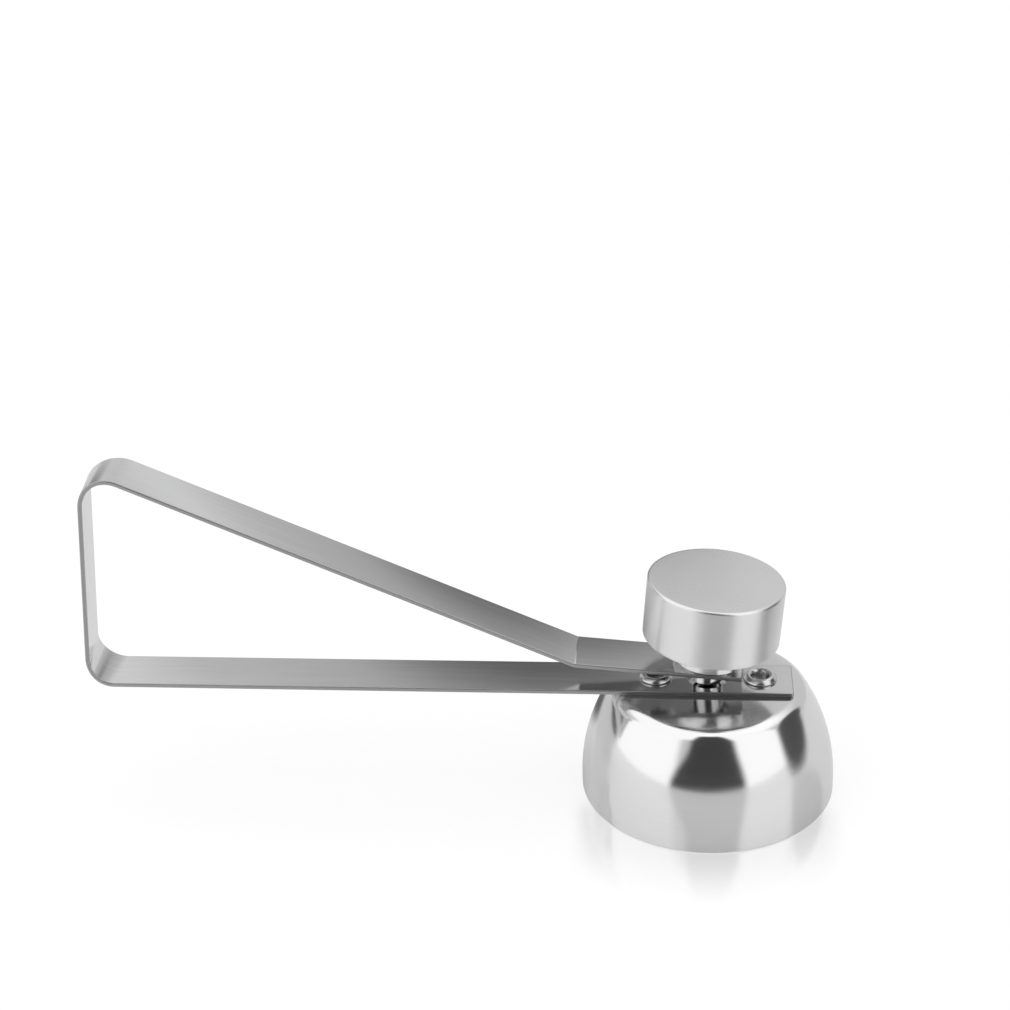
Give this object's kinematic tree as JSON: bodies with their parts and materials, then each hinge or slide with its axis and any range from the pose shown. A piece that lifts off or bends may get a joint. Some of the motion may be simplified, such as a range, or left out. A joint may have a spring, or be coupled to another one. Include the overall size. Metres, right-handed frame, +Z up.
{
  "type": "egg topper",
  "caption": "Spring-hammer egg topper: a round steel bell on a looped strip handle, whose upper arm carries a knob and a striker pin that snap down on the bell.",
  "frame": {"origin": "on the bell's axis, in the plane of its rim", "axes": "+Z up along the bell's axis, towards the knob; -X from the bell along the handle; Y across the strip"},
  "size_m": [0.1018, 0.034, 0.0466],
  "materials": {
    "polished_steel": "polished stainless steel",
    "spring_strip": "bright rolled spring steel, near polished",
    "rivet_steel": "plain bright steel",
    "satin_steel": "satin turned stainless steel"
  },
  "bodies": {
    "bell_and_handle": {"bell": "polished_steel", "handle_loop": "spring_strip", "rivets": "rivet_steel"},
    "hammer": {"hammer_arm": "spring_strip", "collar": "polished_steel", "knob": "satin_steel", "striker_pin": "polished_steel"}
  },
  "joints": [
    {"name": "hammer_lift", "type": "hinge", "parent": "bell_and_handle", "child": "hammer", "pos_m": [-0.07442, 0, 0.04539], "axis": [0, -1, 0], "range_deg": [0, 18], "stiffness_Nm_per_rad": 1, "springref_deg": -4.58}
  ]
}
